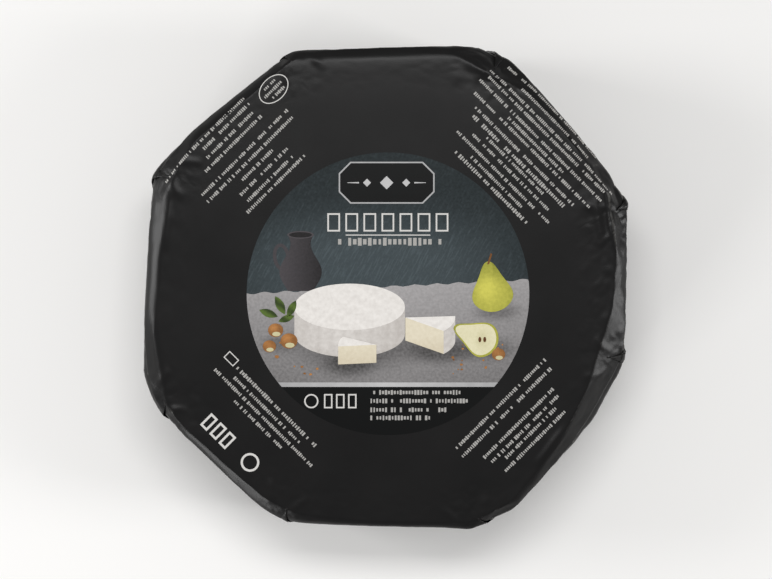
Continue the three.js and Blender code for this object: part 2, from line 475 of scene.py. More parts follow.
def crumpling(zone, at, angle):
    # how crumpled the paper is: most at the corners' shoulders, not at all in the middle of the top
    near = np.zeros_like(angle)
    for facing, strength in cornerRows[:, (0, 6)]:
        away = turnedAway(angle, facing + crumples["turn"])
        near = np.maximum(near, strength * np.exp(-(away / crumples["spread"]) ** 2))
    facing, spread, strength = crumples["right"]
    right = strength * np.exp(-(turnedAway(angle, facing) / spread) ** 2)
    fineFrom = wrapping["fineFrom"]
    fades = {"top": smooth((at - fineFrom) / (1 - fineFrom)), "shoulder": mix(0.6, 1, smooth(at * 2)),
             "base": 1 - smooth(at * 1.6)}
    amount = np.maximum(near, crumples["even"][zone] + right)
    return amount * crumples["share"][zone] * fades.get(zone, 1.0)


def sheetLength(stations, angle):
    # distance over the sheet from the middle of the top to the last station, in each direction
    length, lastOut, lastUp = np.zeros_like(angle), np.zeros_like(angle), packTop
    for zone, at in stations:
        out, up, _, _ = bareSheet(zone, at, angle)
        length += np.hypot(out - lastOut, up - lastUp)
        lastOut, lastUp = out, up
    return length


def makeWrapping():
    stations = makeStations()
    found = []
    for number, (zone, at) in enumerate(stations):
        angle, off, hidden = sheetRow(zone, at)
        out, up, outward, upward = bareSheet(zone, at, angle)
        x, y, z = flattenFacets(out * np.cos(angle), out * np.sin(angle), up)
        length = sheetLength(stations[:number + 1], angle)
        found.append((x + off * outward * np.cos(angle), y + off * outward * np.sin(angle),
                      z + off * upward + pulledFolds(x, y, zone), length * np.cos(angle),
                      length * np.sin(angle), crumpling(zone, at, angle), hidden))
    x, y, z, u, v, rough, hides = (np.array(values) for values in zip(*found))
    rows, count = x.shape
    bm = bmesh.new()
    weight = bm.verts.layers.float.new("crumple")
    sheetMap = bm.loops.layers.uv.new("sheet")
    grid = []
    for j in range(rows):
        grid.append([bm.verts.new((x[j, i] * mm, y[j, i] * mm, z[j, i] * mm)) for i in range(count)])
        for i, vertex in enumerate(grid[-1]):
            vertex[weight] = rough[j, i]
    span = wrapping["sheetSpan"]
    offMap = 2.0              # what lies under a pleat or the base gets a place of its own on the map

    def addFace(places):
        # places are row and column
        face = bm.faces.new([grid[j][i] for j, i in places])
        face.smooth = True
        away = offMap if any(hides[j, i] for j, i in places) else 0.0
        for loop, (j, i) in zip(face.loops, places):
            loop[sheetMap].uv = (u[j, i] / span + away, v[j, i] / span)

    for i in range(count):
        n = (i + 1) % count
        for j in range(rows - 1):
            addFace([(j, i), (j + 1, i), (j + 1, n), (j, n)])
    for j, height, away in ((0, packTop, 0.0), (rows - 1, packBase, offMap)):
        pole = bm.verts.new((0, 0, height * mm))
        for i in range(count):
            n = (i + 1) % count
            first, second = (i, n) if j == 0 else (n, i)
            face = bm.faces.new((pole, grid[j][first], grid[j][second]))
            face.smooth = True
            for loop in face.loops:
                at = loop.vert.co / mm / span
                loop[sheetMap].uv = (at.x + away, at.y)
    bmesh.ops.remove_doubles(bm, verts=bm.verts, dist=0.002 * mm)
    bmesh.ops.dissolve_degenerate(bm, edges=bm.edges, dist=0.001 * mm)
    bmesh.ops.recalc_face_normals(bm, faces=bm.faces)
    mesh = meshOf("wrapping", bm)
    # to the CAD node's own middle
    places = np.array([vertex.co for vertex in mesh.vertices])
    middle = (baseCorner + topCorner) / 2
    shiftX, shiftY, _ = np.array(middle) - (places.min(0) + places.max(0)) / 2
    for vertex in mesh.vertices:
        vertex.co += Vector((shiftX, shiftY, 0))
    return addMesh("wrapping", mesh)


def crumpleTree():
    # facets and creases stand along the paper's own normal, as deep as the crumple attribute says
    number = "NodeSocketFloat"
    tree, given, result = newTree("crumpled paper", [
        ("Facet run", number, 0.0065), ("Facet depth", number, 0.0005),
        ("Crease run", number, 0.0024), ("Crease depth", number, 0.00015),
        ("Swell run", number, 0.024), ("Swell depth", number, 0.0001),
        ("Seed", "NodeSocketInt", 0), ("Paper", "NodeSocketMaterial", None)])
    place = addNode(tree, "GeometryNodeInputPosition")
    longer = addNode(tree, "ShaderNodeVectorMath", {0: place, 1: (1, 1, 0.6)}, operation="MULTIPLY")
    amount = addNode(tree, "GeometryNodeInputNamedAttribute", {"Name": "crumple"}, data_type="FLOAT")
    total = None
    for kind, middle, power in (("Facet", 0.22, 1.0), ("Crease", 0.22, 0.7)):
        scale = addNode(tree, "ShaderNodeMath", {0: 1.0, 1: given[kind + " run"]}, operation="DIVIDE")
        cells = addNode(tree, "ShaderNodeTexVoronoi", {"Vector": longer, "W": given["Seed"], "Scale": scale},
                        voronoi_dimensions="4D", feature="DISTANCE_TO_EDGE").outputs["Distance"]
        centred = addNode(tree, "ShaderNodeMath", {0: cells, 1: middle}, operation="SUBTRACT")
        how = addNode(tree, "ShaderNodeMath", {0: amount, 1: power}, operation="POWER")
        deep = addNode(tree, "ShaderNodeMath", {0: given[kind + " depth"], 1: how}, operation="MULTIPLY")
        moved = addNode(tree, "ShaderNodeMath", {0: centred, 1: deep}, operation="MULTIPLY")
        moved = addNode(tree, "ShaderNodeMath", {0: moved, 1: 3.0}, operation="MULTIPLY")
        total = moved if total is None else addNode(tree, "ShaderNodeMath", {0: total, 1: moved})
    scale = addNode(tree, "ShaderNodeMath", {0: 1.0, 1: given["Swell run"]}, operation="DIVIDE")
    swell = addNode(tree, "ShaderNodeTexNoise", {
        "Vector": place, "W": given["Seed"], "Scale": scale, "Detail": 1.0}, noise_dimensions="4D")
    centred = addNode(tree, "ShaderNodeMath", {0: swell, 1: 0.5}, operation="SUBTRACT")
    # the base stays level
    high = addNode(tree, "ShaderNodeSeparateXYZ", {0: place}).outputs[2]
    offBase = addNode(tree, "ShaderNodeMapRange", {
        0: high, 1: packBase * mm, 2: (packBase + crumples["levelTo"]) * mm})
    moved = addNode(tree, "ShaderNodeMath", {0: centred, 1: given["Swell depth"]}, operation="MULTIPLY")
    moved = addNode(tree, "ShaderNodeMath", {0: moved, 1: offBase}, operation="MULTIPLY")
    total = addNode(tree, "ShaderNodeMath", {0: total, 1: moved})
    normal = addNode(tree, "GeometryNodeInputNormal")
    offset = addNode(tree, "ShaderNodeVectorMath", {0: normal, "Scale": total}, operation="SCALE")
    pushed = addNode(tree, "GeometryNodeSetPosition", {"Geometry": given["Geometry"], "Offset": offset})
    real = addNode(tree, "GeometryNodeRealizeInstances", {"Geometry": pushed})
    dressed = addNode(tree, "GeometryNodeSetMaterial", {"Geometry": real, "Material": given["Paper"]})
    tree.links.new(dressed.outputs[0], result["Geometry"])
    return tree


# The paper's finish: runs of its patterns in mm
finish = {
    "fibre": 0.35, "cloud": 14, "scuffGrain": 0.8,
    "tones": ("#121212", "#171616"),
    "scuffed": "#5c5b58",
    "roughness": (0.30, 0.35),
    "grainHeight": 0.02,
}


def laminatedPaper():
    # black kraft paper with a thin satin film: nearly no colour of its own, a wide soft highlight,
    # a faint grain from the fibres, and creases that are scuffed paler
    low, high = finish["roughness"]
    material, tree, shader = newMaterial("satin_laminated_black_paper", low, specular=0.2)
    shader["IOR"].default_value = 1.5
    place = addNode(tree, "ShaderNodeTexCoord").outputs["Object"]
    fibre, cloud, scuffGrain = (addNode(tree, "ShaderNodeTexNoise", {
        "Vector": place, "Scale": 1 / (finish[name] * mm), "Detail": detail})
        for name, detail in (("fibre", 3.0), ("cloud", 4.0), ("scuffGrain", 4.0)))
    wear = addNode(tree, "ShaderNodeAttribute", attribute_name="wear").outputs["Fac"]
    scuff = addNode(tree, "ShaderNodeMath", {0: wear, 1: scuffGrain}, operation="MULTIPLY")
    scuff = addNode(tree, "ShaderNodeMapRange", {0: scuff, 1: 0.10, 2: 0.55})
    dark, light = (linear(tone) for tone in finish["tones"])
    base = addNode(tree, "ShaderNodeMix", {0: cloud, 6: dark, 7: light}, data_type="RGBA").outputs[2]
    worn = addNode(tree, "ShaderNodeMix", {0: scuff, 6: base, 7: linear(finish["scuffed"])}, data_type="RGBA")
    tree.links.new(worn.outputs[2], shader["Base Color"])
    gloss = addNode(tree, "ShaderNodeMapRange", {0: cloud, 1: 0.3, 2: 0.7, 3: low, 4: high})
    tree.links.new(gloss.outputs[0], shader["Roughness"])
    grain = addNode(tree, "ShaderNodeBump", {
        "Height": fibre, "Distance": finish["grainHeight"] * mm, "Strength": 0.35})
    tree.links.new(grain.outputs[0], shader["Normal"])
    return material


def markWear(thing):
    # how far each vertex stands out of its neighbours, for the scuffs along ridges
    mesh = thing.data
    count = len(mesh.vertices)
    places = np.empty(count * 3)
    mesh.vertices.foreach_get("co", places)
    places = places.reshape(-1, 3)
    normals = np.array([n.vector for n in mesh.vertex_normals])
    ends = np.empty(len(mesh.edges) * 2, int)
    mesh.edges.foreach_get("vertices", ends)
    a, b = ends.reshape(-1, 2).T
    lengths = np.linalg.norm(places[a] - places[b], axis=1) + 1e-9
    total, number = np.zeros(count), np.zeros(count)
    for here, there in ((a, b), (b, a)):
        rise = ((places[here] - places[there]) * normals[here]).sum(1) / lengths
        np.add.at(total, here, rise)
        np.add.at(number, here, 1)
    ridge = np.clip(total / np.maximum(number, 1), 0, 1)
    start, run = crumples["scuffs"]
    layer = mesh.attributes.new("wear", "FLOAT", "POINT")
    layer.data.foreach_set("value", np.clip((ridge - start) / run, 0, 1).astype(np.float32))


wrap = makeWrapping()
crumpled = {"Seed": crumples["seed"], "Paper": laminatedPaper()}
for kind in ("facet", "crease", "swell"):
    run, depth = crumples[kind]
    crumpled[kind.capitalize() + " run"] = run * mm
    crumpled[kind.capitalize() + " depth"] = depth * mm
runTrees(wrap, [(crumpleTree(), crumpled)])
markWear(wrap)
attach(wrap, "root")
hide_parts("paper_wrapped_cheese")
print("wrapping ready:", len(wrap.data.polygons), "faces")


# The round label glued over the ends of the pleats, under the base. Lengths in mm.
label = {
    "ink": 0.04,          # room for its print over the surface that it rests on
    "rimRun": 2.2,        # the rim is pressed up against the paper over this width
    "rimThickness": 0.16,
    "bite": 0.06,         # it sits this deep in the soft folds
    "sides": 144,
    "rings": 16,
    "mottle": 1.5, "fibre": 0.2,                 # runs of the paper's patterns
    "tones": ("#dedad0", "#ece9e1"),
}


def labelSection():
    # the label's section: level face, rim bent up, and the back that is glued on
    radius = (labelHigh.x - labelLow.x) / 2 / mm
    back = packBase + label["bite"]
    rimFoot = back - label["rimThickness"]
    section = []
    for t in np.linspace(0, 1, label["rings"] + 1)[1:]:
        bend = smooth((radius * t - radius + label["rimRun"]) / label["rimRun"])
        section.append((radius * t, mix(label["ink"], rimFoot, bend)))
    section += [(radius + 0.02, rimFoot + 0.05), (radius, back - 0.03)]
    return section + [(radius * t, back) for t in np.linspace(1, 0, label["rings"] + 1)[1:-1]]


def makeLabel():
    section = labelSection()
    bm = bmesh.new()
    sheetMap = bm.loops.layers.uv.new("sheet")
    count = label["sides"]
    turns = np.linspace(0, 2 * math.pi, count, endpoint=False)
    rings = []
    for radius, z in section:
        rings.append([bm.verts.new((radius * math.cos(a) * mm, radius * math.sin(a) * mm, z * mm))
                      for a in turns])
    poles = [bm.verts.new((0, 0, height * mm)) for height in (label["ink"], section[-1][1])]
    for i in range(count):
        n = (i + 1) % count
        bm.faces.new((poles[0], rings[0][i], rings[0][n]))
        bm.faces.new((poles[1], rings[-1][n], rings[-1][i]))
        for low, high in zip(rings, rings[1:]):
            bm.faces.new((low[i], high[i], high[n], low[n]))
    bmesh.ops.recalc_face_normals(bm, faces=bm.faces)
    middle = (labelLow + labelHigh) / 2
    for face in bm.faces:
        face.smooth = True
        away = 2.0 if face.normal.z > -0.1 else 0.0    # only the face that shows is printed
        for loop in face.loops:
            at = loop.vert.co / mm / wrapping["sheetSpan"]
            loop[sheetMap].uv = (away - at.x, at.y)
    for vertex in bm.verts:
        vertex.co += Vector((middle.x, middle.y, 0))
    return addMesh("label", meshOf("label", bm), uncoatedPaper())


def uncoatedPaper():
    # uncoated woodfree label stock: chalky, no highlight, a faint mottle of its fibres
    material, tree, shader = newMaterial("uncoated_white_label_paper", 0.85)
    place = addNode(tree, "ShaderNodeTexCoord").outputs["Object"]
    mottle, fibre = (addNode(tree, "ShaderNodeTexNoise", {
        "Vector": place, "Scale": 1 / (label[name] * mm), "Detail": detail})
        for name, detail in (("mottle", 4.0), ("fibre", 3.0)))
    dark, light = (linear(tone) for tone in label["tones"])
    tone = addNode(tree, "ShaderNodeMix", {0: mottle, 6: dark, 7: light}, data_type="RGBA")
    tree.links.new(tone.outputs[2], shader["Base Color"])
    grain = addNode(tree, "ShaderNodeBump", {"Height": fibre, "Distance": 0.02 * mm, "Strength": 0.5})
    tree.links.new(grain.outputs[0], shader["Normal"])
    return material


roundLabel = makeLabel()
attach(roundLabel, "root")
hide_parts("base_label")
print("label ready")


# The print: thin ink, drawn on the plane of the flat sheet and then laid on it as it is folded.
# Lengths in mm.
printing = {
    "inkDepth": 0.02,          # the ink reaches this deep into the paper
    "inkHeight": 0.03,         # and stands this high
    "inkStep": 0.008,          # with this much more for each colour printed over another
    "shapeRun": 1.6,           # largest step of a field of colour, so that it follows the sheet
    "outlineRun": 1.2,         # and of its outline
    # marks of the small rows, as shares of a row's height
    "letterAdvance": 0.62,
    "letterWidths": (0.30, 0.50),
    "lowLetter": 0.7,
    "stagger": 0.15,
    "tallFrom": 0.64,          # of marks numbered at random from 0 to 1, these stand up
    "deepTo": 0.12,            # and these hang down
    "wordGaps": 0.15,
    "seed": 11, "kindSeed": 5,
    "strokes": {"turn": -62, "size": (3.0, 0.36)},    # of the slate
    # inks: the darker and the lighter tone, grain of the print, and roughness
    "inks": {
        "slate": ("#10191b", "#465054", 0.5, 0.40), "board": ("#1b1917", "#b1aeae", 0.6, 0.40),
        "rind": ("#8f867f", "#ece8e3", 0.9, 0.38), "paste": ("#b9a98c", "#e4dbc4", 0.7, 0.38),
        "fruit": ("#5d6615", "#d0cb5a", 0.8, 0.36), "flesh": ("#b7b182", "#ece6c4", 0.7, 0.38),
        "nut": ("#4a2a12", "#b98049", 0.4, 0.38), "leaf": ("#1c2a10", "#5d7430", 0.5, 0.38),
        "pottery": ("#1a1819", "#4c484b", 0.6, 0.38), "black": ("#020303", "#050606", 2.0, 0.34),
        "silver": ("#8d8d8e", "#c2c1c1", 1.5, 0.34), "white": ("#d3d1cd", "#dddbd7", 1.0, 0.38),
        "small": ("#a9a7a3", "#bcbab6", 0.7, 0.38)},
}


def inkMaterial(name):
    # offset ink under the satin film: each colour runs from its dark to its light tone, with the fine
    # unevenness of a printed photograph
    dark, light, run, rough = printing["inks"][name]
    material, tree, shader = newMaterial("offset_ink_" + name, rough, specular=0.2)
    place = addNode(tree, "ShaderNodeTexCoord").outputs["Object"]
    shade = addNode(tree, "ShaderNodeAttribute", attribute_name="shade").outputs["Fac"]
    grain = addNode(tree, "ShaderNodeTexNoise", {"Vector": place, "Scale": 1 / (run * mm), "Detail": 5.0})
    grain = addNode(tree, "ShaderNodeMapRange", {0: grain, 1: 0.3, 2: 0.7, 3: -0.09, 4: 0.09})
    tone = addNode(tree, "ShaderNodeMath", {0: shade, 1: grain}, use_clamp=True)
    if name == "slate":
        # split stone: pale strokes that all run one way
        length, width = printing["strokes"]["size"]
        turn = math.radians(printing["strokes"]["turn"])
        turned = addNode(tree, "ShaderNodeMapping", {"Vector": place, "Rotation": (0, 0, turn)})
        drawn = addNode(tree, "ShaderNodeVectorMath", {0: turned, 1: (1 / length, 1 / width, 1)},
                        operation="MULTIPLY")
        stroke = addNode(tree, "ShaderNodeTexNoise", {"Vector": drawn, "Scale": 1 / mm, "Detail": 3.0})
        stroke = addNode(tree, "ShaderNodeMapRange", {0: stroke, 1: 0.52, 2: 0.72, 3: 0.0, 4: 0.75})
        stroke = addNode(tree, "ShaderNodeMath", {0: stroke, 1: tone}, operation="MULTIPLY")
        tone = addNode(tree, "ShaderNodeMath", {0: tone, 1: stroke}, use_clamp=True)
    colour = addNode(tree, "ShaderNodeMix", {0: tone, 6: linear(dark), 7: linear(light)}, data_type="RGBA")
    tree.links.new(colour.outputs[2], shader["Base Color"])
    return material


def layOnTree():
    # x and y are a place on the flat sheet and z is the height over it
    tree, given, result = newTree("laid on the sheet", [
        ("Sheet", "NodeSocketObject", None), ("Span", "NodeSocketFloat", 0.24),
        ("Ink", "NodeSocketMaterial", None)])
    sheet = addNode(tree, "GeometryNodeObjectInfo", {"Object": given["Sheet"]}).outputs["Geometry"]
    normal = addNode(tree, "GeometryNodeInputNormal")
    kept = addNode(tree, "GeometryNodeStoreNamedAttribute", {
        "Geometry": sheet, "Name": "outward", "Value": normal}, data_type="FLOAT_VECTOR", domain="POINT")
    place = addNode(tree, "GeometryNodeInputPosition")
    inverse = addNode(tree, "ShaderNodeMath", {0: 1.0, 1: given["Span"]}, operation="DIVIDE")
    scaled = addNode(tree, "ShaderNodeVectorMath", {0: place, "Scale": inverse}, operation="SCALE")
    # a place that falls just between two narrow faces is looked up once more, a hair's breadth away
    beside = addNode(tree, "ShaderNodeVectorMath", {0: scaled, 1: (6e-5, 4e-5, 0)})
    sheetMap, outward = (addNode(tree, "GeometryNodeInputNamedAttribute", {"Name": name},
                                 data_type="FLOAT_VECTOR") for name in ("sheet", "outward"))
    found = []
    for value in (place, outward):
        first, second = (addNode(tree, "GeometryNodeSampleUVSurface", {
            "Mesh": kept, "Value": value, "UV Map": sheetMap, "Sample UV": at}, data_type="FLOAT_VECTOR")
            for at in (scaled, beside))
        found.append(addNode(tree, "GeometryNodeSwitch", {
            0: first.outputs["Is Valid"], 1: second.outputs["Value"], 2: first.outputs["Value"]},
            input_type="VECTOR"))
    height = addNode(tree, "ShaderNodeSeparateXYZ", {0: place}).outputs[2]
    unit = addNode(tree, "ShaderNodeVectorMath", {0: found[1]}, operation="NORMALIZE")
    lifted = addNode(tree, "ShaderNodeVectorMath", {0: unit, "Scale": height}, operation="SCALE")
    laid = addNode(tree, "ShaderNodeVectorMath", {0: found[0], 1: lifted})
    moved = addNode(tree, "GeometryNodeSetPosition", {"Geometry": given["Geometry"], "Position": laid})
    real = addNode(tree, "GeometryNodeRealizeInstances", {"Geometry": moved})
    inked = addNode(tree, "GeometryNodeSetMaterial", {"Geometry": real, "Material": given["Ink"]})
    tree.links.new(inked.outputs[0], result["Geometry"])
    return tree


def rowsTree():
    # plain marks along each line, as wide and as high as letters, with gaps as between words
    number = "NodeSocketFloat"
    tree, given, result = newTree("rows of marks", [
        ("Mark", "NodeSocketObject", None), ("Advance", number, 0.62), ("Narrow", number, 0.34),
        ("Wide", number, 0.56), ("Word gaps", number, 0.15), ("Seed", "NodeSocketInt", 0)])
    seed = given["Seed"]
    high = addNode(tree, "GeometryNodeInputNamedAttribute", {"Name": "height"}, data_type="FLOAT")
    lines = addNode(tree, "GeometryNodeMeshToCurve", {"Mesh": given["Geometry"]})
    step = addNode(tree, "ShaderNodeMath", {0: high, 1: given["Advance"]}, operation="MULTIPLY")
    points = addNode(tree, "GeometryNodeResampleCurve", {"Curve": lines, "Length": step}, mode="LENGTH")
    gap = addNode(tree, "FunctionNodeRandomValue", {6: given["Word gaps"], "Seed": seed}, data_type="BOOLEAN")
    kept = addNode(tree, "GeometryNodeDeleteGeometry", {0: points, 1: gap.outputs[3]}, domain="POINT")
    wide = addNode(tree, "FunctionNodeRandomValue", {
        2: given["Narrow"], 3: given["Wide"], "Seed": seed}, data_type="FLOAT").outputs[1]
    kind = addNode(tree, "FunctionNodeRandomValue", {
        2: 0.0, 3: 1.0, "Seed": printing["kindSeed"]}, data_type="FLOAT").outputs[1]
    tall = addNode(tree, "ShaderNodeMath", {0: kind, 1: printing["tallFrom"]}, operation="GREATER_THAN")
    deep = addNode(tree, "ShaderNodeMath", {0: kind, 1: printing["deepTo"]}, operation="LESS_THAN")
    long = addNode(tree, "ShaderNodeMath", {0: tall, 1: deep})
    share = addNode(tree, "ShaderNodeMapRange", {0: long, 3: printing["lowLetter"], 4: 1.0})
    across = addNode(tree, "ShaderNodeMath", {0: wide, 1: high}, operation="MULTIPLY")
    up = addNode(tree, "ShaderNodeMath", {0: share, 1: high}, operation="MULTIPLY")
    size = addNode(tree, "ShaderNodeCombineXYZ", {0: across, 1: up, 2: 1.0})
    tangent = addNode(tree, "GeometryNodeInputTangent")
    turned = addNode(tree, "FunctionNodeAlignRotationToVector", {"Vector": tangent}, axis="X")
    mark = addNode(tree, "GeometryNodeObjectInfo", {"Object": given["Mark"], "As Instance": True})
    placed = addNode(tree, "GeometryNodeInstanceOnPoints", {
        "Points": kept, "Instance": mark.outputs["Geometry"], "Rotation": turned, "Scale": size})
    # tall marks stand up from the line and a few hang down
    side = addNode(tree, "ShaderNodeMath", {0: tall, 1: deep}, operation="SUBTRACT")
    shift = addNode(tree, "ShaderNodeMath", {0: side, 1: high}, operation="MULTIPLY")
    shift = addNode(tree, "ShaderNodeMath", {0: shift, 1: printing["stagger"]}, operation="MULTIPLY")
    offset = addNode(tree, "ShaderNodeCombineXYZ", {1: shift})
    shifted = addNode(tree, "GeometryNodeTranslateInstances", {"Instances": placed, "Translation": offset})
    real = addNode(tree, "GeometryNodeRealizeInstances", {"Geometry": shifted})
    tree.links.new(real.outputs[0], result["Geometry"])
    return tree


def inkBase(level=0):
    return -printing["inkDepth"], printing["inkHeight"] + level * printing["inkStep"]


def shadeLayer(bm):
    return bm.verts.layers.float.get("shade") or bm.verts.layers.float.new("shade")


def addShape(bm, outline, level, tone, centre=None):
    # a closed slab over an outline that its middle sees all of, in rings that follow the sheet
    shade = shadeLayer(bm)
    points = np.array(outline, float)
    middle = points.mean(0) if centre is None else np.array(centre, float)
    count = max(1, math.ceil(np.hypot(*(points - middle).T).max() / printing["shapeRun"]))
    shares = np.linspace(0, 1, count + 1)[1:]

    def addVert(at, height):
        vertex = bm.verts.new((at[0] * mm, at[1] * mm, height * mm))
        vertex[shade] = tone(at[0], at[1]) if callable(tone) else tone
        return vertex

    rims = []
    for height in inkBase(level):
        pole = addVert(middle, height)
        rows = [[addVert(mix(middle, p, share), height) for p in points] for share in shares]
        for i in range(len(points)):
            n = (i + 1) % len(points)
            faces = [(pole, rows[0][i], rows[0][n])]
            faces += [(a[i], b[i], b[n], a[n]) for a, b in zip(rows, rows[1:])]
            for face in faces:
                bm.faces.new(face if height > 0 else face[::-1])
        rims.append(rows[-1])
    low, high = rims
    for i in range(len(points)):
        n = (i + 1) % len(points)
        bm.faces.new((low[i], low[n], high[n], high[i]))


def circlePoints(radius, start=0.0, end=360.0, count=120):
    turns = np.radians(np.linspace(start, end, count, endpoint=end - start < 360))
    return np.stack([radius * np.cos(turns), radius * np.sin(turns)], 1)


def placed(points, centre, turn=0.0):
    # points of the plane turned about the origin, by degrees, and then moved
    a = math.radians(turn)
    return points @ np.array([(math.cos(a), math.sin(a)), (-math.sin(a), math.cos(a))]) + centre


def addLine(bm, outer, inner, level, tone):
    # a closed line of ink between two outlines with as many points
    shade = shadeLayer(bm)
    low, high = inkBase(level)
    rows = []
    for points, height in ((outer, low), (outer, high), (inner, high), (inner, low)):
        rows.append([bm.verts.new((*(p * mm), height * mm)) for p in points])
        for vertex in rows[-1]:
            vertex[shade] = tone
    for a, b in zip(rows, rows[1:] + rows[:1]):
        for i in range(len(a)):
            n = (i + 1) % len(a)
            bm.faces.new((a[i], a[n], b[n], b[i]))


def addOutlined(bm, unit, centre, halves, width, level, turn, tone):
    # a line of some width just inside an outline: the unit outline at these half sizes, turned and moved
    halves = np.array(halves, float)
    outer = placed(unit * halves, centre, turn)
    inner = placed(unit * (halves - width), centre, turn)
    addLine(bm, outer, inner, level, tone)


def addRing(bm, centre, radii, width, level, turn=0.0, tone=0.0, steps=48):
    addOutlined(bm, circlePoints(1, count=steps), centre, radii, width, level, turn, tone)


def addFrame(bm, centre, size, width, level, turn=0.0, tone=0.0):
    unit = np.array([(1, -1), (1, 1), (-1, 1), (-1, -1)])
    addOutlined(bm, unit, centre, np.array(size) / 2, width, level, turn, tone)


def finishInk(name, bm, ink, on, steps=()):
    # lays what was drawn on the paper and makes it a piece
    bmesh.ops.recalc_face_normals(bm, faces=bm.faces)
    span = wrapping["sheetSpan"] * mm
    laid = (layOn, {"Sheet": on, "Span": span, "Ink": inks[ink]})
    thing = runTrees(addMesh(name, meshOf(name, bm)), [*steps, laid])
    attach(thing, "root")
    return thing


inks = {name: inkMaterial(name) for name in printing["inks"]}
layOn = layOnTree()
rowsOfMarks = rowsTree()

# The round picture: a still life of plain shapes on a slate. Lengths in mm from the middle of the picture,
# places on the board as across, depth and height.
picture = {
    "centre": (0.35, -1.25), "radius": 31.7,
    "front": -17.0, "slope": 0.42, "rise": 0.92,   # the board's near line, and how depth and height are seen
    "boardEdge": 1.6, "boardLean": 0.05, "boardWaves": (0.22, 1.3), "boardMiddle": (0, -10),
    "bandTop": -20.4, "ruleWidth": 1.0,
    "wheel": {"at": (-8.6, 19.0), "radius": 12.4, "height": 6.6},
    "wedges": [{"at": (3.9, 15.5), "radius": 11.2, "height": 5.6, "from": -40, "to": 4},
               {"at": (-2.6, 3.6), "radius": 8.6, "height": 4.4, "from": 150, "to": 186}],
    "pears": [{"at": (23.2, 1.6), "size": (8.6, 11.4), "turn": 8, "cut": False},
              {"at": (19.6, -9.6), "size": (7.4, 10.6), "turn": 66, "cut": True}],
    "nuts": [(-25.2, -8.2, 1.7), (-22.2, -10.6, 1.9), (-26.6, -11.8, 1.5), (24.8, -13.6, 1.5)],
    "leaves": [(-24.2, -2.6, 4.6, 118), (-21.6, -3.4, 4.2, 62), (-26.8, -4.4, 4.4, 160),
               (-22.8, -5.6, 3.8, 20)],
    # the jug: middle of its foot, height, mean half width and how much that swings, where its belly is, and
    # its mouth and handle
    "jug": {"at": (-19.6, 0.6), "height": 12.6, "half": 3.5, "swing": 1.25, "belly": 0.34,
            "mouth": (3.0, 0.85), "handle": ((-4.3, 7.6), (1.9, 3.1), 0.8)},
    # shadows on the board: middle, reach and strength
    "shadows": [((-6.5, -11.12), (15.5, 6.4), 0.62), ((11.5, -12.59), (8.2, 3.4), 0.66),
                ((-8.8, -15.908), (6.4, 2.8), 0.6), ((21.8, -12.4), (7.2, 2.8), 0.5),
                ((24.6, -4.0), (5.6, 2.0), 0.5), ((-24, -11.2), (4.6, 2.2), 0.42)],
    # a plain dark plaque with cut corners, a pale line round it, three diamonds and two darts on it
    "plaque": {"at": (-0.3, 24.9), "half": (10.75, 4.7), "cut": 2.6, "line": 0.32,
               "diamonds": ((-4.4, 0.9), (0, 1.5), (4.4, 0.9)),
               "darts": (6.2, 8.8), "dartHalves": (0.16, 0.06)},
    # crumbs: how many, where they lie at the left and at the right, and their sizes
    "crumbs": {"count": 34, "left": (-28, -15), "right": (14, 27), "up": (-18.2, -9.5), "size": (0.18, 0.55)},
    "seed": 7,
}


def seen(x, depth, height):
    return np.array([x, picture["front"] + depth * picture["slope"] + height * picture["rise"]])


def hull(points):
    # the outline of points that lie in the plane, anticlockwise
    order = sorted(map(tuple, np.round(points, 6)))
    halves = []
    for run in (order, order[::-1]):
        half = []
        for p in run:
            while len(half) > 1 and np.cross(np.subtract(half[-1], half[-2]), np.subtract(p, half[-1])) <= 0:
                half.pop()
            half.append(p)
        halves += half[:-1]
    return np.array(halves)


def refined(points):
    # the same outline with no side longer than a step
    made = []
    for a, b in zip(points, np.roll(points, -1, 0)):
        count = max(1, math.ceil(np.hypot(*(b - a)) / printing["outlineRun"]))
        made += [mix(a, b, i / count) for i in range(count)]
    return np.array(made)


def softSpot(x, y, at, reach):
    # 1 in the middle of an oval and 0 outside it
    return float(smooth(1.3 - math.hypot((x - at[0]) / reach[0], (y - at[1]) / reach[1])))


def boardTone(x, y):
    # paler towards the back, dark under and before what stands on it
    tone = 0.62 + 0.016 * (y + 12) - 0.004 * abs(x)
    for spot, reach, strength in picture["shadows"]:
        tone *= 1 - strength * softSpot(x, y, spot, reach)
    return min(1.0, max(0.02, tone))


def slateTone(x, y):
    # night behind the plaque, palest in the middle of the picture
    return 0.12 + 0.62 * softSpot(x, y, (-4, 4), (34, 21)) * float(smooth((27 - y) / 18))


def drawJug(layers):
    # dark stoneware at the back, lit from the left
    jug = picture["jug"]
    pottery = layers["pottery"]
    x, y = jug["at"]
    height = jug["height"]
    shares = np.linspace(0, 1, 26)
    half = jug["half"] + jug["swing"] * np.cos(2 * math.pi * (shares - jug["belly"]))
    right, left = (np.stack([x + side * half, y + shares * height], 1) for side in (1, -1))
    body = refined(np.concatenate([right, left[::-1]]))
    (handleX, handleY), handleRadii, handleWidth = jug["handle"]
    addRing(pottery, (x + handleX, y + handleY), handleRadii, handleWidth, 2, 8, tone=0.75)
    addShape(pottery, body, 3, lambda px, py: 0.5 - 0.085 * (px - x), (x, y + 0.4 * height))
    mouth = circlePoints(1, count=40) * jug["mouth"]
    addShape(pottery, mouth + (x, y + height), 4, 0.95)
    addShape(pottery, mouth * (0.86, 0.72) + (x, y + height), 5, 0.05)


